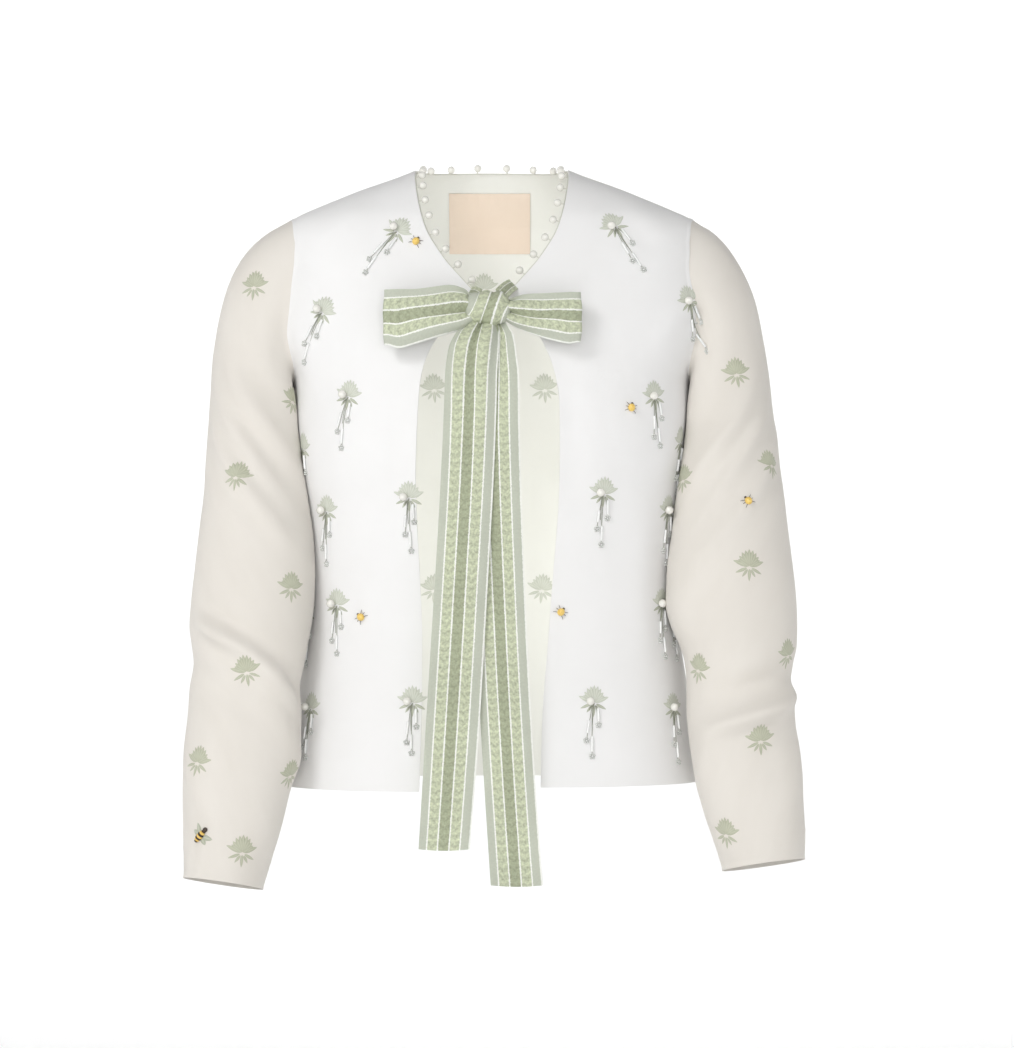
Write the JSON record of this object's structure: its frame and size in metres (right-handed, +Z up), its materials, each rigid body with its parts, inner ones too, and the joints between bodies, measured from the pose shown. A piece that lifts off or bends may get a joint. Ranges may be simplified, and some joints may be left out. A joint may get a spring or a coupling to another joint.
{
  "type": "blouse",
  "caption": "Collarless open-front blouse with long set-in sleeves, a pearl neck edging and a striped ribbon bow that ties the fronts at the neck.",
  "frame": {"origin": "midway between the two shoulder neck points, where the worn blouse hangs from its wearer's shoulders", "axes": "+X towards the wearer's left, -Y out of the front, +Z up along the wearer"},
  "size_m": [0.565, 0.2446, 0.6777],
  "materials": {
    "front_cloth": "smooth white woven cloth, matt",
    "back_cloth": "smooth ivory woven cloth, matt",
    "sleeve_cloth": "fine cream woven cloth with a faint sheen",
    "ribbon": "woven striped ribbon in greens and white",
    "pearl": "glossy pearl coat",
    "label_satin": "bare peach satin"
  },
  "bodies": {
    "root": {"front_right": "front_cloth", "front_left": "front_cloth", "back": "back_cloth", "sleeve_right": "sleeve_cloth", "sleeve_left": "sleeve_cloth", "label": "label_satin", "neck_edging": "pearl", "bow_knot": "ribbon", "bow_loop_right": "ribbon", "bow_loop_left": "ribbon", "bow_tail_right": "ribbon", "bow_tail_left": "ribbon", "tie_root_right": "ribbon", "tie_root_left": "ribbon", "motif_pearl_right_1": "pearl", "motif_pearl_right_2": "pearl", "motif_pearl_right_3": "pearl", "motif_pearl_right_4": "pearl", "motif_pearl_right_5": "pearl", "motif_pearl_right_6": "pearl", "motif_pearl_right_7": "pearl", "motif_pearl_right_8": "pearl", "motif_pearl_left_1": "pearl", "motif_pearl_left_2": "pearl", "motif_pearl_left_3": "pearl", "motif_pearl_left_4": "pearl", "motif_pearl_left_5": "pearl", "motif_pearl_left_6": "pearl", "motif_pearl_left_7": "pearl", "motif_pearl_left_8": "pearl"}
  },
  "joints": []
}
